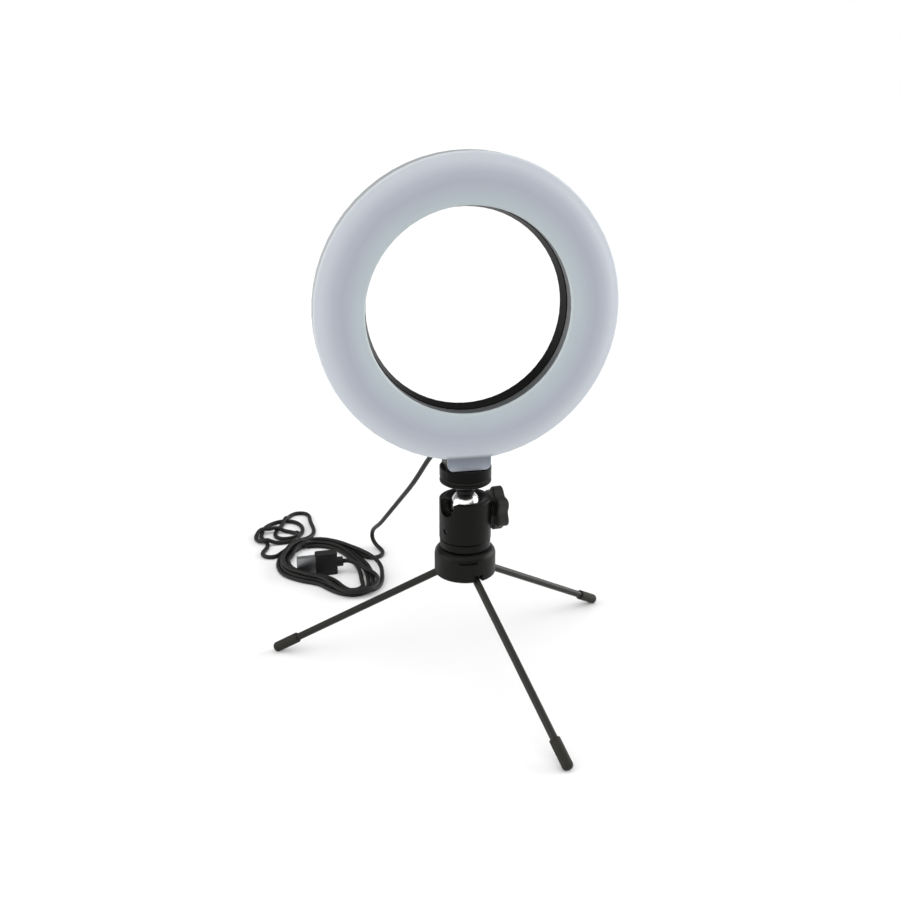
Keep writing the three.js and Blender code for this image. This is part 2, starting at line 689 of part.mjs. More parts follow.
// The lead's route: out of the strain relief, down, through its fold and across the floor to the hank
function hangingRoute() {
  const { y, z, r, angles, x } = FOLD;
  const fold = angles.map((a, i) => [x[i], y + r * Math.cos(rad(a)), z + r * Math.sin(rad(a))]);
  const lying = CORD_R + 0.25;
  const landed = LANDED.map(([px, py]) => [px, py, lying]);
  const { x: ex, y: ey, out: [nx, ny] } = edgeOf(HANK, HANK_HALF + GAP, JOINS_AT);
  const last = [4.2, 0].map((d) => [ex + nx * d, ey + ny * d, lying]);
  return [reliefTip(GAP), reliefTip(6), ...HANGING, ...fold, ...landed, ...last];
}

// A wound bundle lying on the floor: a band each side of its middle line
function bundle(middle, half, top) {
  const line = curve(middle, true);
  const band = (offset, inset, z0, z1) => {
    const side = (d) => Array.from({ length: 36 }, (_, i) => {
      const point = line.getPointAt(i / 36);
      const aim = line.getTangentAt(i / 36);
      return [point.x - aim.y * d, point.y + aim.x * d];
    });
    return raised(side(-offset + inset), z0, z1, [side(offset - inset)]);
  };
  return join(band(half, 0, 1.2, top - 1.2), band(half, 1.2, 0, top));
}

// The middle of a band's edge, with the direction square to it
function edgeOf(middle, half, portion) {
  const line = curve(middle, true);
  const point = line.getPointAt(portion);
  const aim = line.getTangentAt(portion);
  return { x: point.x + aim.y * half, y: point.y - aim.x * half, out: [aim.y, -aim.x] };
}

// From the hank's inner edge to the plug's boss
function tailRoute() {
  const { x, y, out } = edgeOf(HANK, -HANK_HALF - GAP, TAIL_AT);
  const turn = rad(PLUG.turn);
  const end = PLUG.grip[0] + 4 + GAP;
  const height = PLUG.grip[2] / 2;
  const from = (d) => [PLUG.at[0] + d * Math.cos(turn), PLUG.at[1] + d * Math.sin(turn), height];
  const rise = 5.2;
  return [from(end), from(end + 3.5), [x - out[0] * 3.5, y - out[1] * 3.5, rise], [x, y, rise]];
}

// Moulded grip of the plug, with a boss where the cord enters
function usbGrip() {
  const [length, thick, tall] = PLUG.grip;
  const body = roundedBox(length, thick, 1.6, 0, tall).translate(length / 2, 0, 0);
  const boss = disc(PLUG.boss, length - 1, length + 4).rotateY(Math.PI / 2).translate(0, 0, tall / 2);
  const socket = box(-1, 6, -PLUG.shell[1] / 2 - GAP, PLUG.shell[1] / 2 + GAP, 1.5, tall - 1.5);
  return cut(join(body, boss), socket);
}

// Plug shell, open at its end, with its tongue
function usbShell() {
  const [length, thick, tall] = PLUG.shell;
  const middle = PLUG.grip[2] / 2;
  const outer = box(-length, 5.6, -thick / 2, thick / 2, middle - tall / 2, middle + tall / 2);
  const inner = { y: thick / 2 - 0.4, z: tall / 2 - 0.4 };
  const mouth = box(-length - 1, -1, -inner.y, inner.y, middle - inner.z, middle + inner.z);
  const half = inner.z - 0.5;
  const tongue = box(-length + 0.8, 0, -inner.y - 0.2, -0.2, middle - half, middle + half);
  return join(cut(outer, mouth), tongue);
}

function buildCord() {
  const plug = new THREE.Group();
  plug.position.set(...PLUG.at, 0);
  plug.rotation.z = rad(PLUG.turn);
  root.add(plug);
  add('usb_grip', usbGrip(), 'black_rubber', plug);
  add('usb_shell', usbShell(), 'steel', plug);
  add('cord_hank', bundle(HANK, HANK_HALF, HANK_TOP), 'black_rubber');
  add('cord_loops', bundle(LOOPS, LOOPS_HALF, LOOPS_TOP), 'black_rubber');
  add('cord_lead', tube(hangingRoute(), 72), 'black_rubber');
  add('cord_tail', tube(tailRoute(), 6), 'black_rubber');
}

buildLamp();
buildHead();
buildTripod();
buildCord();

export default root;
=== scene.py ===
"""Looks for a ring light on a ball head and folding table tripod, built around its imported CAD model.

Metres, +Z up, the lamp faces -Y. Points are written in millimetres from the hub's vertical axis,
and at() places them.
"""

import json
import math

import bmesh
import bpy
import numpy as np
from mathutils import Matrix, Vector


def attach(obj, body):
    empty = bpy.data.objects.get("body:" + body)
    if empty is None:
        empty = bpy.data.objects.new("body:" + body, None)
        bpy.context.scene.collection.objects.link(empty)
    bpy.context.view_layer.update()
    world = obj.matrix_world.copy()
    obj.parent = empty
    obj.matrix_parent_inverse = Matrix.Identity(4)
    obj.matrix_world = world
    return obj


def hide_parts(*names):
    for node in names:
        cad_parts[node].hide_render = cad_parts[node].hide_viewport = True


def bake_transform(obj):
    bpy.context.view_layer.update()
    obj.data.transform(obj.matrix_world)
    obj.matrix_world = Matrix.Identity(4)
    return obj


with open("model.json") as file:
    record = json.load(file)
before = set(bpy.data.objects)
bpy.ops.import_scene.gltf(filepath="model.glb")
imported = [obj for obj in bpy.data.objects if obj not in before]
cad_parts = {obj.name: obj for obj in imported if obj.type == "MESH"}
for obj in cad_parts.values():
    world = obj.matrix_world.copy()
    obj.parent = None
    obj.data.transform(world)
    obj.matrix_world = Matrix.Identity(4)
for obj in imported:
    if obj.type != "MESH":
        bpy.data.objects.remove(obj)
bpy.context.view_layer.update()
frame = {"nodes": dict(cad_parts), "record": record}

HUB_X, HUB_Y = 4.6, 25.6      # the hub's axis in the row frame, mm
RING_Z = 210.0                # height of the lamp's centre
CORD_D = 3.0                  # cord diameter
LYING = CORD_D / 2            # height of a cord's middle where it lies on the floor
STACKED = 3.1                 # height from one strand's middle to the middle of a strand on it
SECOND = LYING + STACKED      # height of a strand that lies on one on the floor


def at(x, y, z):
    """A point given in mm from the hub's axis, in metres in the row frame."""
    return Vector(((x + HUB_X) / 1000, (y + HUB_Y) / 1000, z / 1000))


# ---------------------------------------------------------------- camera

LENS, SENSOR = 41.13, 36.0                  # focal length and sensor width, mm
CAMERA_AT = (-110.9, -515.35, 320.45)       # mm from the hub's axis
CAMERA_PITCH, CAMERA_YAW = 70.374, -11.224  # degrees


def make_camera():
    data = bpy.data.cameras.new("camera")
    data.lens = LENS
    data.sensor_width = SENSOR
    data.clip_start = 0.01
    camera = bpy.data.objects.new("camera", data)
    camera.location = at(*CAMERA_AT)
    camera.rotation_euler = (math.radians(CAMERA_PITCH), 0.0, math.radians(CAMERA_YAW))
    bpy.context.scene.collection.objects.link(camera)
    bpy.context.scene.camera = camera


# ---------------------------------------------------------------- curves and tubes

def centripetal(points, closed=False, per_span=16):
    """Points close together on a centripetal Catmull-Rom curve through the given ones."""
    p = np.array(points, float)
    if closed:
        p = np.vstack([p[-1], p, p[0], p[1]])
    else:
        p = np.vstack([2 * p[0] - p[1], p, 2 * p[-1] - p[-2]])
    out = []
    for a, b, c, d in zip(p[:-3], p[1:-2], p[2:-1], p[3:]):
        t0 = 0.0
        t1 = t0 + math.sqrt(np.linalg.norm(b - a))
        t2 = t1 + math.sqrt(np.linalg.norm(c - b))
        t3 = t2 + math.sqrt(np.linalg.norm(d - c))
        for t in np.linspace(t1, t2, per_span, endpoint=False):
            ab = (t1 - t) / (t1 - t0) * a + (t - t0) / (t1 - t0) * b
            bc = (t2 - t) / (t2 - t1) * b + (t - t1) / (t2 - t1) * c
            cd = (t3 - t) / (t3 - t2) * c + (t - t2) / (t3 - t2) * d
            abc = (t2 - t) / (t2 - t0) * ab + (t - t0) / (t2 - t0) * bc
            bcd = (t3 - t) / (t3 - t1) * bc + (t - t1) / (t3 - t1) * cd
            out.append((t2 - t) / (t2 - t1) * abc + (t - t1) / (t2 - t1) * bcd)
    out.append(p[-2])
    return np.array(out)


def resample(points, step):
    """The same line with points evenly spaced along it."""
    lengths = np.concatenate([[0], np.cumsum(np.linalg.norm(np.diff(points, axis=0), axis=1))])
    s = np.linspace(0, lengths[-1], max(2, int(round(lengths[-1] / step)) + 1))
    return np.stack([np.interp(s, lengths, points[:, k]) for k in range(3)], axis=1)


def skin(name, rings):
    """A closed piece through rings of points in metres, with its sides shaded smooth."""
    mesh = bpy.data.meshes.new(name)
    bm = bmesh.new()
    rows = [[bm.verts.new(q) for q in ring] for ring in rings]
    for low, high in zip(rows, rows[1:]):
        for k in range(len(low)):
            after = (k + 1) % len(low)
            bm.faces.new((low[k], low[after], high[after], high[k])).smooth = True
    bm.faces.new(list(reversed(rows[0])))
    bm.faces.new(rows[-1])
    bmesh.ops.recalc_face_normals(bm, faces=bm.faces)
    bm.to_mesh(mesh)
    bm.free()
    obj = bpy.data.objects.new(name, mesh)
    bpy.context.scene.collection.objects.link(obj)
    return obj


def tube(name, points, radius, sides=14):
    """A closed round tube along points given in mm."""
    p = [at(*q) for q in points]
    normal = Vector((0, 0, 1))
    rings = []
    for i, q in enumerate(p):
        tangent = (p[min(i + 1, len(p) - 1)] - p[max(i - 1, 0)]).normalized()
        normal = (normal - tangent * normal.dot(tangent)).normalized()
        side = tangent.cross(normal)
        ring = []
        for k in range(sides):
            a = 2 * math.pi * k / sides
            offset = normal * math.cos(a) + side * math.sin(a)
            ring.append(q + offset * radius / 1000)
        rings.append(ring)
    return skin(name, rings)


# ---------------------------------------------------------------- the cord's route

# The strain relief: where it leaves the housing, which way it points, and how far it stands out
RELIEF_AT = Vector((-8, 8.8, 138))
RELIEF_ALONG = Vector((-0.12, 0.8, -0.59)).normalized()
RELIEF_LENGTH = 16.0

# The lead in the air, then the circle of its fold, with the places of the fold's points along X
# and their angles on the circle, from +Y towards +Z
HANGING = [(-13, 40, 114.3), (-18.2, 66, 89.7), (-22.7, 100, 64), (-26.4, 126, 44.3), (-29.4, 150, 26.8)]
FOLD = {"y": 165, "z": 8.6, "r": 7.1}
FOLD_X = [-32.0, -33.0, -33.2, -31.8, -29.2]
FOLD_ANGLES = [57, 22, -14, -50, -88]

# On the floor, from the fold to the hank
LANDED = [(-27, 159.6), (-27.8, 154.4), (-30.0, 149.4), (-34.8, 147.9), (-39.6, 150.8)]

# Middle of the hank, going anticlockwise seen from above
HANK = [
    (-45, 153), (-56, 170), (-72, 180), (-89, 172), (-97, 156), (-96.5, 139), (-88, 127),
    (-76, 119.5), (-67, 107), (-56, 95), (-43, 98), (-37, 116), (-38.5, 138),
]

# Over the hank's outer strands to the loose loops: portions of the way round, offsets outwards and heights
OVER_HANK = [(0.215, -1.2, 4.0), (0.24, 2.0, SECOND), (0.262, 5.5, SECOND)]

# The loose loops behind the hank, going clockwise seen from above
LOOPS = [
    # a small one
    (-102.5, 162.5, 3.0), (-108.5, 162.5, LYING), (-112, 169.5, LYING), (-109.5, 178.5, LYING),
    (-108.5, 187.5, LYING),
    # a broad one
    (-112, 197, LYING), (-112, 207.5, LYING), (-108.5, 217, LYING), (-100.5, 224.5, LYING),
    (-91, 225.5, LYING), (-84, 219, LYING), (-81.5, 208.5, LYING), (-84, 199, LYING),
    (-90.5, 193.5, LYING), (-98, 193.5, LYING), (-102, 199, LYING),
    # a narrow one, over the broad one's far side
    (-101, 207, LYING), (-97.5, 216, 3.6), (-94, 225, 5.1), (-90, 233.5, 3.4), (-84.5, 240, LYING),
    (-78.5, 239.5, LYING), (-75.5, 232, LYING), (-74.5, 220, LYING), (-73.5, 208, LYING),
    (-74.5, 198, LYING),
    # a flat one, across the others
    (-79.5, 191, 1.8), (-87, 188.3, 1.8), (-96, 187, 2.4), (-104, 186.5, 3.8), (-110.5, 188.5, 4.9),
    (-115.5, 194, 3.4), (-116.5, 201, 3.2), (-113, 207.5, 4.9), (-107.5, 210, 4.4), (-100.5, 209, 4.9),
    (-93.5, 206.5, 3.0), (-87.5, 201.5, 3.0), (-85, 195.5, 4.6), (-84.5, 189, 5.0), (-87.5, 182.5, 7.0),
]

# From the hank to the plug's boss
TO_PLUG = [(-47.5, 130.0, 6.2), (-52.0, 133.6, 7.4), (-55.5, 134.2, 7.8), (-57.9, 134.1, 7.8)]

PER_TURN = 16                 # route points in each turn of the hank

# How a strand eases at each step, in mm where it is a length
EASY_BEND = 7.0               # radius below which a bend is eased more strongly
EASE, EASE_TIGHT = 0.3, 0.5   # share of a bend that is taken out
GIVE_BACK = 0.1               # share of the wider bend that is put back, which keeps broad curves broad
SINK = 0.03                   # fall towards the floor
CONTACT = CORD_D + 0.06       # strands nearer than this are pushed apart
OWN_STRETCH = 4.2 * CORD_D    # points nearer than this along the cord don't push each other


class Ring:
    """A closed line in plan that strands are laid beside."""

    def __init__(self, points):
        line = centripetal([(x, y, 0) for x, y in points], closed=True)
        self.points = resample(line, 1.0)
        self.count = len(self.points) - 1

    def place(self, portion, offset, z):
        """A point at a portion of the way round, offset outwards."""
        i = int(round((portion % 1.0) * self.count)) % self.count
        reach = 3
        aim = self.points[(i + reach) % self.count] - self.points[(i - reach) % self.count]
        aim /= np.linalg.norm(aim)
        x, y, _ = self.points[i]
        return (x + aim[1] * offset, y - aim[0] * offset, z)


def hill(portion, centre, width):
    """1 at the centre of a stretch of the way round, falling smoothly to 0 at its ends."""
    distance = abs((portion - centre + 0.5) % 1.0 - 0.5)
    return 0.5 * (1 + math.cos(math.pi * min(1.0, distance / width)))


def fold_points():
    """The fold that the cord keeps where it meets the floor."""
    points = []
    for x, degrees in zip(FOLD_X, FOLD_ANGLES):
        a = math.radians(degrees)
        points.append((x, FOLD["y"] + FOLD["r"] * math.cos(a), FOLD["z"] + FOLD["r"] * math.sin(a)))
    return points


def bottom_strands(hank):
    """Just over two turns on the floor, each inside the last, spread apart on the near right."""
    start, outermost = 0.05, 3.6
    points = []
    for k in range(35):
        t = k / PER_TURN
        spread = 1 + 1.5 * hill(start + t, 0.84, 0.32)
        points.append(hank.place(start + t, outermost - STACKED * t * spread, LYING))
    return points


def loose_loops(hank):
    """Over the hank's outer strands, round the loose loops, and back to the hank."""
    return [hank.place(*step) for step in OVER_HANK] + LOOPS


def top_strands(hank):
    """About two and a half turns, in the hollows between the bottom ones and then on each other."""
    start, first_offset, pitch, upper_offset = 0.25, 1.0, 2.4, 0.8
    nested, rise = SECOND - 0.4, 2.8
    climb_from, climb_over = 1.25, 0.4
    points = []
    for k in range(42):
        t = k / PER_TURN
        climb = min(1.0, max(0.0, (t - climb_from) / climb_over))
        climb = climb * climb * (3 - 2 * climb)
        offset = (first_offset - pitch * min(t, 1.5)) * (1 - climb) + upper_offset * climb
        over = STACKED * hill(start + t, 0.24, 0.08) * (1 - 0.6 * climb)
        spread = 5.5 * math.sin(2.4 * t) * hill(start + t, 0.85, 0.3)
        points.append(hank.place(start + t, offset - spread, nested + rise * climb + over))
    return points


def cord_route():
    """The whole route's points, from the strain relief to the plug."""
    route = [tuple(RELIEF_AT + RELIEF_ALONG * (RELIEF_LENGTH + s)) for s in (0.3, 6)]
    route += HANGING + fold_points() + [(x, y, LYING) for x, y in LANDED]
    hank = Ring(HANK)
    route += bottom_strands(hank) + loose_loops(hank) + top_strands(hank)
    return route + TO_PLUG


def settle(route, held_start, held_end, rounds=90):
    """Lets a cord's route ease: bends even out, strands lie on each other or the floor, and lengths stay."""
    r = route.copy()
    n = len(r)
    spacing = np.linalg.norm(np.diff(r, axis=0), axis=1).mean()
    apart = np.abs(np.subtract.outer(np.arange(n), np.arange(n))) * spacing > OWN_STRETCH
    free = np.ones(n, bool)
    free[:held_start] = free[n - held_end:] = False
    for _ in range(rounds):
        bend = 0.5 * (r[:-2] + r[2:]) - r[1:-1]
        tight = np.linalg.norm(bend, axis=1) > 0.5 * spacing ** 2 / EASY_BEND
        step = np.zeros_like(r)
        step[1:-1] = np.where(tight, EASE_TIGHT, EASE)[:, None] * bend
        step[2:-2] -= GIVE_BACK * (0.5 * (r[:-4] + r[4:]) - r[2:-2])
        step[:, 2] -= SINK
        r[free] += step[free]
        for _ in range(2):
            gap = r[:, None] - r[None]
            distance = np.linalg.norm(gap, axis=2)
            i, j = np.where(np.triu(apart & (distance < CONTACT)))
            push = gap[i, j] / np.maximum(distance[i, j], 1e-6)[:, None]
            push *= (0.5 * (CONTACT - distance[i, j]))[:, None]
            moved = np.zeros_like(r)
            count = np.ones(n)
            np.add.at(moved, i, push)
            np.add.at(moved, j, -push)
            np.add.at(count, i, 0.5)
            np.add.at(count, j, 0.5)
            r[free] += (moved / count[:, None])[free]
            r[free, 2] = np.maximum(r[free, 2], LYING)
        for _ in range(3):
            link = np.diff(r, axis=0)
            long = np.linalg.norm(link, axis=1)
            fix = link * (0.5 * (long - spacing) / long)[:, None]
            r[:-1][free[:-1]] += fix[free[:-1]]
            r[1:][free[1:]] -= fix[free[1:]]
    return r


def evened(route, held, passes):
    """The route with its small kinks smoothed out."""
    r = route.copy()
    for _ in range(passes):
        before, middle, after = r[held - 1:-held - 1], r[held:-held], r[held + 1:len(r) - held + 1]
        r[held:-held] = middle + 0.25 * (before - 2 * middle + after)
    return r


def build_cord():
    """The cord and the points along its middle. The lead, the fold and the plug's end keep their places."""
    route = resample(centripetal(cord_route()), 2.0)
    fold_far_side, past_fold, at_plug, at_ends = 171, 12, 8, 3
    landed = int(np.argmax(route[:, 1] > fold_far_side)) + past_fold
    route = settle(route, landed, at_plug)
    route = settle(evened(route, at_ends, 6), landed, at_plug, rounds=8)
    route = resample(centripetal(evened(route, at_ends, 1), per_span=2), 1.5)
    cord = tube("usb_cord", route, CORD_D / 2)
    return cord, route


# ---------------------------------------------------------------- materials

def linear(r, g, b):
    """An sRGB colour, 0 to 255, as the linear values that shaders take."""
    out = []
    for v in (r, g, b):
        v /= 255
        out.append(v / 12.92 if v <= 0.04045 else ((v + 0.055) / 1.055) ** 2.4)
    return (*out, 1.0)


MIX_COLOURS, MIX_RESULT = (6, 7), 2    # the colour sockets of a Mix node, whose names aren't unique


class Shader:
    """A material's nodes and the wires between them."""

    def __init__(self, name):
        self.material = bpy.data.materials.new(name)
        self.material.use_nodes = True
        self.tree = self.material.node_tree
        self.tree.nodes.clear()
        out = self.node("ShaderNodeOutputMaterial")
        self.bsdf = self.node("ShaderNodeBsdfPrincipled")
        self.wire(self.bsdf, "BSDF", out, "Surface")
        self.coordinates = self.node("ShaderNodeTexCoord")

    def node(self, kind, **properties):
        made = self.tree.nodes.new(kind)
        for key, value in properties.items():
            setattr(made, key, value)
        return made

    def wire(self, a, output, b, socket):
        self.tree.links.new(a.outputs[output], b.inputs[socket])

    def noise(self, scale, detail, stretch=None):
        """Noise in the piece's own coordinates, which stretch scales."""
        made = self.node("ShaderNodeTexNoise")
        made.inputs["Scale"].default_value = scale
        made.inputs["Detail"].default_value = detail
        if stretch:
            mapping = self.node("ShaderNodeMapping")
            mapping.inputs["Scale"].default_value = stretch
            self.wire(self.coordinates, "Object", mapping, "Vector")
            self.wire(mapping, "Vector", made, "Vector")
        else:
            self.wire(self.coordinates, "Object", made, "Vector")
        return made

    def ramp(self, source, stops):
        """A colour ramp through (position, colour) stops."""
        made = self.node("ShaderNodeValToRGB")
        elements = made.color_ramp.elements
        while len(elements) < len(stops):
            elements.new(0.5)
        for element, (position, colour) in zip(elements, stops):
            element.position = position
            element.color = colour
        self.wire(source, 0, made, "Fac")
        return made

    def span(self, source, low, high, output=0, start=0.0, end=1.0):
        """A map of a value from start to end onto low to high."""
        made = self.node("ShaderNodeMapRange")
        made.inputs["From Min"].default_value = start
        made.inputs["From Max"].default_value = end
        made.inputs["To Min"].default_value = low
        made.inputs["To Max"].default_value = high
        self.wire(source, output, made, "Value")
        return made

    def colour_of(self, source):
        """Which output of a ramp or a blend is its colour."""
        return "Color" if "Color" in source.outputs else MIX_RESULT

    def blend(self, amount, first, second):
        """A colour between two others, where amount goes from 0 to 1."""
        made = self.node("ShaderNodeMix", data_type="RGBA")
        self.wire(amount, 0, made, 0)
        for source, socket in zip((first, second), MIX_COLOURS):
            self.wire(source, self.colour_of(source), made, socket)
        return made

    def bump(self, source, strength, depth, round_mm=0.0):
        """A bump of a depth in mm, over edges rounded in the shading."""
        made = self.node("ShaderNodeBump")
        made.inputs["Strength"].default_value = strength
        made.inputs["Distance"].default_value = depth / 1000
        self.wire(source, 0, made, "Height")
        if round_mm:
            rounded = self.node("ShaderNodeBevel")
            rounded.samples = 4
            rounded.inputs["Radius"].default_value = round_mm / 1000
            self.wire(rounded, "Normal", made, "Normal")
        self.wire(made, "Normal", self.bsdf, "Normal")


def scaled(colour, factor):
    return tuple(min(1.0, c * factor) for c in colour[:3]) + (1.0,)


MOTTLE = 0.12                 # drift of a moulded surface's colour, either way
SPREAD = 0.07                 # drift of its roughness, either way
MOULDED_EDGE, METAL_EDGE = 0.15, 0.05    # rounding of edges in the shading, mm


def moulded(name, colour, roughness, grain, depth, specular=0.5):
    """A surface with slow colour drift, fine grain in its bump and roughness, and softly rounded edges."""
    s = Shader(name)
    drift = s.noise(45, 4)
    base = s.ramp(drift, [(0.3, scaled(colour, 1 - MOTTLE)), (0.7, scaled(colour, 1 + MOTTLE))])
    s.wire(base, "Color", s.bsdf, "Base Color")
    fine = s.noise(grain, 2)
    rough = s.span(fine, roughness - SPREAD, roughness + SPREAD, start=0.3, end=0.7)
    s.wire(rough, "Result", s.bsdf, "Roughness")
    s.bsdf.inputs["Specular IOR Level"].default_value = specular
    s.bump(fine, 0.35, depth, MOULDED_EDGE)
    return s.material


# The zones of the diffuser's painted shade and light, in metres
FACE_INNER, FACE_OUTER = 0.052, 0.082           # how far the face's rims are from the lamp's centre
FACE_BACK, SKIRT_FRONT = 0.0093, 0.0083         # the face's end and the skirts' start, before the hub's axis
TAB_LOW, TAB_HIGH = 0.124, 0.1335               # the tab's painted shade runs between these heights
TAB_EDGE_LOW, TAB_EDGE_HIGH = 0.1312, 0.1334    # the tab gives way to the ring between these heights
TAB_INSIDE, TAB_OUTSIDE = 0.0118, 0.0128        # half of the tab's width, where its painted shade ends


def face_painted_shading(s, portion):
    """Painted shade and light across the face: greyer in the middle over the LED board, paler at the rims
    where light comes through, with a slow drift.
    """
    cloud = s.noise(22, 2)
    shift = s.span(cloud, -0.05, 0.05)
    total = s.node("ShaderNodeMath", operation="ADD")
    s.wire(portion, "Result", total, 0)
    s.wire(shift, "Result", total, 1)
    return s.ramp(total, [
        (0.0, linear(186, 195, 197)), (0.2, linear(176, 186, 193)), (0.46, linear(168, 172, 184)),
        (0.62, linear(174, 180, 190)), (0.86, linear(193, 198, 206)), (1.0, linear(200, 206, 209)),
    ])


def skirt_painted_shade(s, portion):
    """Painted shade on the skirts behind the face: dark on the wall of the ring's hole, mid grey on the
    outer wall.
    """
    return s.ramp(portion, [
        (0.1, linear(66, 68, 70)), (0.3, linear(78, 80, 82)),
        (0.6, linear(146, 150, 153)), (1.0, linear(154, 157, 159)),
    ])


def tab_painted_shade(s, place):
    """Painted shade on the tab: palest at its lower edge, darker up towards the ring, which shades it."""
    height = s.span(place, 0.0, 1.0, output="Z", start=TAB_LOW, end=TAB_HIGH)
    return s.ramp(height, [
        (0.0, linear(160, 166, 176)), (0.4, linear(128, 135, 146)), (0.85, linear(106, 112, 123)),
    ])


def on_tab(s, place, flat):
    """1 on the tab and 0 on the ring."""
    parts = s.node("ShaderNodeSeparateXYZ")
    s.wire(flat, "Vector", parts, "Vector")
    aside = s.node("ShaderNodeMath", operation="ABSOLUTE")
    s.wire(parts, "X", aside, 0)
    low = s.span(place, 1.0, 0.0, output="Z", start=TAB_EDGE_LOW, end=TAB_EDGE_HIGH)
    within = s.span(aside, 1.0, 0.0, output="Value", start=TAB_INSIDE, end=TAB_OUTSIDE)
    both = s.node("ShaderNodeMath", operation="MULTIPLY")
    s.wire(low, "Result", both, 0)
    s.wire(within, "Result", both, 1)
    return both


def milky():
    """Translucent white moulding with painted shade and light by its zones: the face, the skirts behind it
    and the tab below.
    """
    s = Shader("milky plastic")
    place = s.node("ShaderNodeSeparateXYZ")
    s.wire(s.coordinates, "Object", place, "Vector")
    centre = s.node("ShaderNodeVectorMath", operation="SUBTRACT")
    centre.inputs[1].default_value = (HUB_X / 1000, 0, RING_Z / 1000)
    s.wire(s.coordinates, "Object", centre, 0)
    flat = s.node("ShaderNodeVectorMath", operation="MULTIPLY")
    flat.inputs[1].default_value = (1, 0, 1)
    s.wire(centre, "Vector", flat, 0)
    reach = s.node("ShaderNodeVectorMath", operation="LENGTH")
    s.wire(flat, "Vector", reach, 0)
    portion = s.span(reach, 0.0, 1.0, output="Value", start=FACE_INNER, end=FACE_OUTER)
    hub_y = HUB_Y / 1000
    behind = s.span(place, 0.0, 1.0, output="Y", start=hub_y - FACE_BACK, end=hub_y - SKIRT_FRONT)
    ring = s.blend(behind, face_painted_shading(s, portion), skirt_painted_shade(s, portion))
    whole = s.blend(on_tab(s, place, flat), ring, tab_painted_shade(s, place))
    s.wire(whole, s.colour_of(whole), s.bsdf, "Base Color")
    fine = s.noise(2600, 2)
    rough = s.span(fine, 0.42, 0.5, start=0.3, end=0.7)
    s.wire(rough, "Result", s.bsdf, "Roughness")
    s.bsdf.inputs["Subsurface Weight"].default_value = 0.08
    s.bsdf.inputs["Subsurface Radius"].default_value = (1.0, 1.0, 1.1)
    s.bsdf.inputs["Subsurface Scale"].default_value = 0.001
    s.bump(fine, 0.15, 0.01)
    return s.material


def polished(name, colour, roughness, spread=0.03):
    """Bright metal with faint turning lines."""
    s = Shader(name)
    lines = s.noise(500, 2, (1, 1, 6))
    base = s.ramp(lines, [(0.3, scaled(colour, 0.95)), (0.7, colour)])
    s.wire(base, "Color", s.bsdf, "Base Color")
    rough = s.span(lines, roughness, roughness + spread, start=0.3, end=0.7)
    s.wire(rough, "Result", s.bsdf, "Roughness")
    s.bsdf.inputs["Metallic"].default_value = 1.0
    s.bump(lines, 0.1, 0.004, METAL_EDGE)
    return s.material


def cord_sheath():
    """Soft matte sheath with a fine grain and a little dust."""
    s = Shader("cord sheath")
    dust = s.noise(220, 4)
    base = s.ramp(dust, [(0.35, linear(17, 17, 16)), (0.62, linear(22, 22, 20)), (0.82, linear(38, 38, 35))])
    s.wire(base, "Color", s.bsdf, "Base Color")
    fine = s.noise(1500, 3)
    rough = s.span(fine, 0.42, 0.58, start=0.3, end=0.7)
    s.wire(rough, "Result", s.bsdf, "Roughness")
    s.bsdf.inputs["Specular IOR Level"].default_value = 0.25
    s.bump(fine, 0.3, 0.03)
    return s.material


MATERIALS = {
    "milky": milky(),
    "housing": moulded("black housing plastic", linear(9, 9, 8), 0.38, 2200, 0.02, specular=0.08),
    "hub": moulded("black hub plastic", linear(13, 13, 11), 0.4, 1500, 0.035, specular=0.13),
    "knob": moulded("black knob plastic", linear(30, 30, 26), 0.5, 1100, 0.05, specular=0.35),
    "anodised": moulded("black anodised metal", linear(10, 10, 8), 0.36, 2600, 0.015, specular=0.12),
    "rod": moulded("black painted rod", linear(31, 30, 26), 0.38, 900, 0.03, specular=0.22),
    "collar": moulded("black textured collar", linear(14, 14, 13), 0.6, 700, 0.18, specular=0.3),
    "rubber": moulded("black rubber", linear(36, 35, 30), 0.7, 900, 0.06, specular=0.25),
    "grip": moulded("plug grip", linear(18, 18, 18), 0.55, 1300, 0.05, specular=0.25),
    "chrome": polished("chrome", (0.86, 0.86, 0.85, 1), 0.2),
    "steel": polished("steel", (0.3, 0.31, 0.32, 1), 0.3, spread=0.1),
    "brass": polished("brass", linear(190, 160, 92), 0.25, spread=0.08),
    "board": moulded("white circuit board", linear(226, 226, 214), 0.5, 1200, 0.02),
    "nylon": moulded("nylon", linear(226, 223, 210), 0.5, 1200, 0.02),
    "sheath": cord_sheath(),
}


# ---------------------------------------------------------------- pieces

def give(obj, material):
    obj.data.materials.clear()
    obj.data.materials.append(MATERIALS[material])


def body_of(node):
    for body, members in frame["record"]["behaviour"]["bodies"].items():
        if node in members:
            return body
    raise KeyError(node)


WELD = 2e-6                   # vertices nearer than this are one, m
FLAT = 0.4                    # faces that meet at less than this are joined, degrees
CREASE = 38                   # edges sharper than this stay crisp, degrees


def smooth_piece(node, material):
    """A piece on a CAD node's own shape, its curved faces shaded smooth and its real edges kept crisp."""
    mesh = frame["nodes"][node].data.copy()
    piece = bpy.data.objects.new(f"{node}_finish", mesh)
    bpy.context.scene.collection.objects.link(piece)
    bm = bmesh.new()
    bm.from_mesh(mesh)
    bmesh.ops.remove_doubles(bm, verts=bm.verts, dist=WELD)
    bmesh.ops.dissolve_limit(bm, angle_limit=math.radians(FLAT), verts=bm.verts, edges=bm.edges)
    for face in bm.faces:
        face.smooth = True
    for edge in bm.edges:
        edge.smooth = len(edge.link_faces) == 2 and edge.calc_face_angle(0.0) < math.radians(CREASE)
    bm.to_mesh(mesh)
    bm.free()
    if mesh.has_custom_normals:
        bpy.context.view_layer.objects.active = piece
        bpy.ops.mesh.customdata_custom_splitnormals_clear()
    give(piece, material)
    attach(piece, body_of(node))
    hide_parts(node)


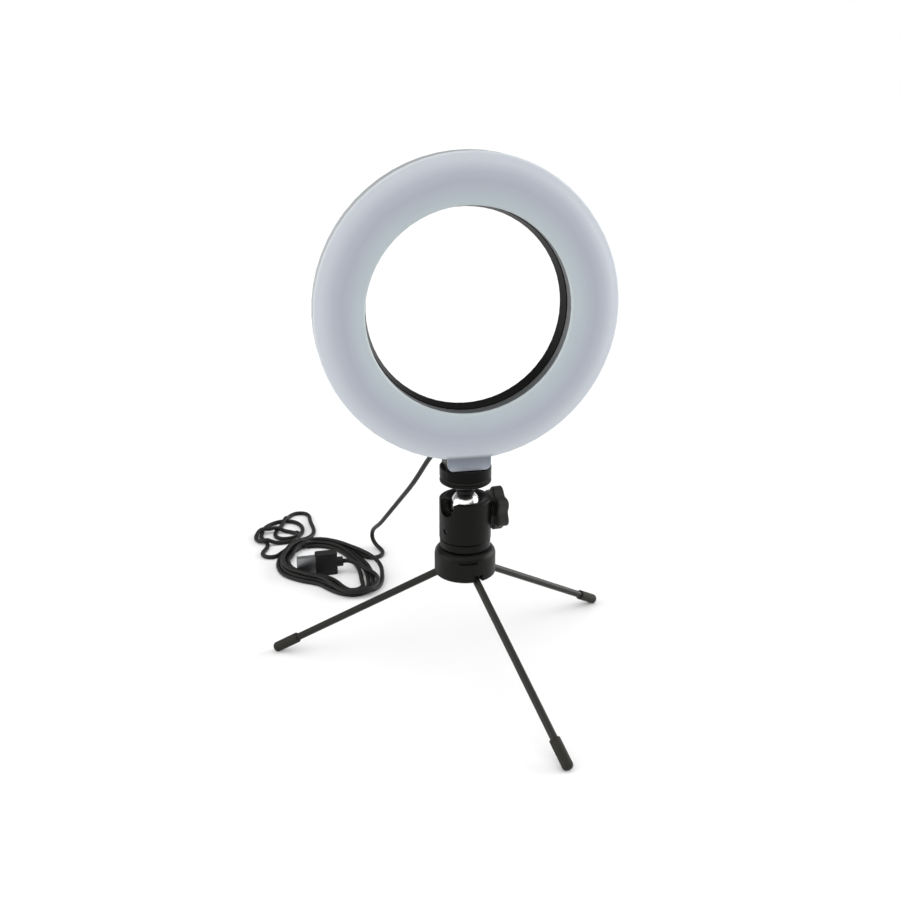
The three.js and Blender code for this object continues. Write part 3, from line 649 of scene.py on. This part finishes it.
def dress_parts():
    """Shown pieces on the CAD's shapes, and materials for the CAD's pieces inside."""
    shown = {
        "diffuser": "milky", "rear_housing": "housing", "ball_stud": "chrome", "stem_collar": "collar",
        "platform_disc": "anodised", "platform_pad": "rubber", "head_body": "anodised",
        "head_base": "anodised", "grub_screw": "steel", "clamp_knob": "knob", "clamp_screw": "steel",
        "hub_body": "hub", "hub_plate": "hub", "plate_screw": "steel", "power_button": "rubber",
        "dimmer_button": "rubber", "usb_grip": "grip", "usb_shell": "steel",
    }
    for side in ("left", "front", "right"):
        shown[f"leg_rod_{side}"] = "rod"
        shown[f"leg_foot_{side}"] = "rubber"
        shown[f"leg_pin_{side}"] = "steel"
    for n in range(1, 5):
        shown[f"housing_screw_{n}"] = "steel"
    for node, material in shown.items():
        smooth_piece(node, material)
    inside = {"led_board": "board", "switch_board": "board", "neck_insert": "brass", "ball_seat": "nylon",
              "pressure_pad": "nylon", "tripod_stud": "steel"}
    for node, material in inside.items():
        give(frame["nodes"][node], material)


def lathe_along(name, outline, point, direction, sides=32):
    """A turned piece: outline is (distance along, radius) in mm, from a point in a direction."""
    turn = Vector((0, 0, 1)).rotation_difference(direction)
    rings = []
    for s, r in outline:
        ring = []
        for k in range(sides):
            a = 2 * math.pi * k / sides
            q = turn @ Vector((r * math.cos(a), r * math.sin(a), s)) + point
            ring.append(at(*q))
        rings.append(ring)
    return skin(name, rings)


def build_relief():
    """The strain relief, with the grooves that let it bend."""
    bore, plug_r, sleeve_from, sleeve_r, taper = 0.4, 3.2, 2.4, 3.0, 0.95
    first, last, grooves, groove_depth = 3.2, 14.4, 5, 0.45
    outline = [(-5, bore), (-5, plug_r), (1.9, plug_r), (sleeve_from, sleeve_r)]
    for k in range(grooves):
        s = first + (last - first) * k / (grooves - 1)
        r = sleeve_r - taper * (s - sleeve_from) / (RELIEF_LENGTH - sleeve_from)
        floor = r - groove_depth
        outline += [(s - 0.05, r), (s + 0.25, floor), (s + 0.75, floor), (s + 1.05, r - 0.06)]
    outline += [(RELIEF_LENGTH - 0.3, 2.1), (RELIEF_LENGTH, 1.9), (RELIEF_LENGTH, bore)]
    relief = lathe_along("strain_relief_finish", outline, RELIEF_AT, RELIEF_ALONG)
    give(relief, "grip")
    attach(relief, "light")
    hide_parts("strain_relief")


def declare_cord(cord):
    """The cord's material, the CAD nodes it replaces hidden, and its transform applied to its mesh."""
    give(cord, "sheath")
    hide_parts("cord_lead", "cord_tail", "cord_hank", "cord_loops")
    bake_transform(cord)


# ---------------------------------------------------------------- floor and light

def build_floor():
    """A wide pale floor."""
    mesh = bpy.data.meshes.new("floor")
    bm = bmesh.new()
    steps = [-30, -10, -3, -1, 1, 3, 10, 30]
    grid = [[bm.verts.new((x, y, 0)) for x in steps] for y in steps]
    for j in range(len(steps) - 1):
        for i in range(len(steps) - 1):
            bm.faces.new((grid[j][i], grid[j][i + 1], grid[j + 1][i + 1], grid[j + 1][i]))
    bm.to_mesh(mesh)
    bm.free()
    floor = bpy.data.objects.new("floor", mesh)
    bpy.context.scene.collection.objects.link(floor)
    s = Shader("studio paper")
    drift = s.noise(3, 3)
    base = s.ramp(drift, [(0.3, (0.9, 0.9, 0.9, 1)), (0.7, (0.93, 0.93, 0.93, 1))])
    s.wire(base, "Color", s.bsdf, "Base Color")
    s.bsdf.inputs["Roughness"].default_value = 0.9
    s.bsdf.inputs["Specular IOR Level"].default_value = 0.1
    floor.data.materials.append(s.material)


def soft_sun(name, elevation, azimuth, strength, softness):
    """A very soft light from a direction, the same everywhere on the floor."""
    data = bpy.data.lights.new(name, "SUN")
    data.energy = strength
    data.angle = math.radians(softness)
    lamp = bpy.data.objects.new(name, data)
    e, a = math.radians(elevation), math.radians(azimuth)
    towards = Vector((math.cos(e) * math.cos(a), math.cos(e) * math.sin(a), math.sin(e)))
    lamp.rotation_euler = towards.to_track_quat("Z", "Y").to_euler()
    bpy.context.scene.collection.objects.link(lamp)


# The dome's light, by the Z of a direction: the first up to RIM_Z, the second from OVERHEAD_Z
RIM_Z, RIM_LIGHT = 0.08, (1.1, 1.1, 1.1, 1)
OVERHEAD_Z, OVERHEAD_LIGHT = 0.3, (0.24, 0.24, 0.24, 1)

# Its share straight ahead of the lamp, by the Y of a direction, which rises to the whole at SIDES_Y
FRONT_Y, SIDES_Y, FRONT_SHARE = -0.95, -0.35, 0.3


def build_world():
    """A dome, bright at the horizon and dimmer overhead and before the lamp, with a white backdrop."""
    world = bpy.data.worlds.new("studio")
    world.use_nodes = True
    tree = world.node_tree
    dome = tree.nodes["Background"]
    place = tree.nodes.new("ShaderNodeTexCoord")
    split = tree.nodes.new("ShaderNodeSeparateXYZ")
    tree.links.new(place.outputs["Generated"], split.inputs["Vector"])
    ramp = tree.nodes.new("ShaderNodeValToRGB")
    ramp.color_ramp.elements[0].position = RIM_Z
    ramp.color_ramp.elements[0].color = RIM_LIGHT
    ramp.color_ramp.elements[1].position = OVERHEAD_Z
    ramp.color_ramp.elements[1].color = OVERHEAD_LIGHT
    tree.links.new(split.outputs["Z"], ramp.inputs["Fac"])
    front = tree.nodes.new("ShaderNodeMapRange")
    front.inputs["From Min"].default_value = FRONT_Y
    front.inputs["From Max"].default_value = SIDES_Y
    front.inputs["To Min"].default_value = FRONT_SHARE
    front.inputs["To Max"].default_value = 1.0
    tree.links.new(split.outputs["Y"], front.inputs["Value"])
    tree.links.new(ramp.outputs["Color"], dome.inputs["Color"])
    tree.links.new(front.outputs["Result"], dome.inputs["Strength"])
    backdrop = tree.nodes.new("ShaderNodeBackground")
    backdrop.inputs["Color"].default_value = (1, 1, 1, 1)
    ray = tree.nodes.new("ShaderNodeLightPath")
    mix = tree.nodes.new("ShaderNodeMixShader")
    tree.links.new(ray.outputs["Is Camera Ray"], mix.inputs[0])
    tree.links.new(dome.outputs["Background"], mix.inputs[1])
    tree.links.new(backdrop.outputs["Background"], mix.inputs[2])
    tree.links.new(mix.outputs["Shader"], tree.nodes["World Output"].inputs["Surface"])
    bpy.context.scene.world = world


def light_scene():
    """The dome and four suns: elevation, azimuth, strength and softness."""
    build_world()
    soft_sun("overhead", 76, -110, 2.1, 100)
    soft_sun("front_left", 38, -140, 0.3, 60)
    soft_sun("right", 12, 5, 2.7, 50)
    soft_sun("left", 12, 178, 1.2, 50)
    bpy.context.scene.view_settings.view_transform = "Standard"


make_camera()
cord, cord_points = build_cord()
dress_parts()
build_relief()
declare_cord(cord)
build_floor()
light_scene()
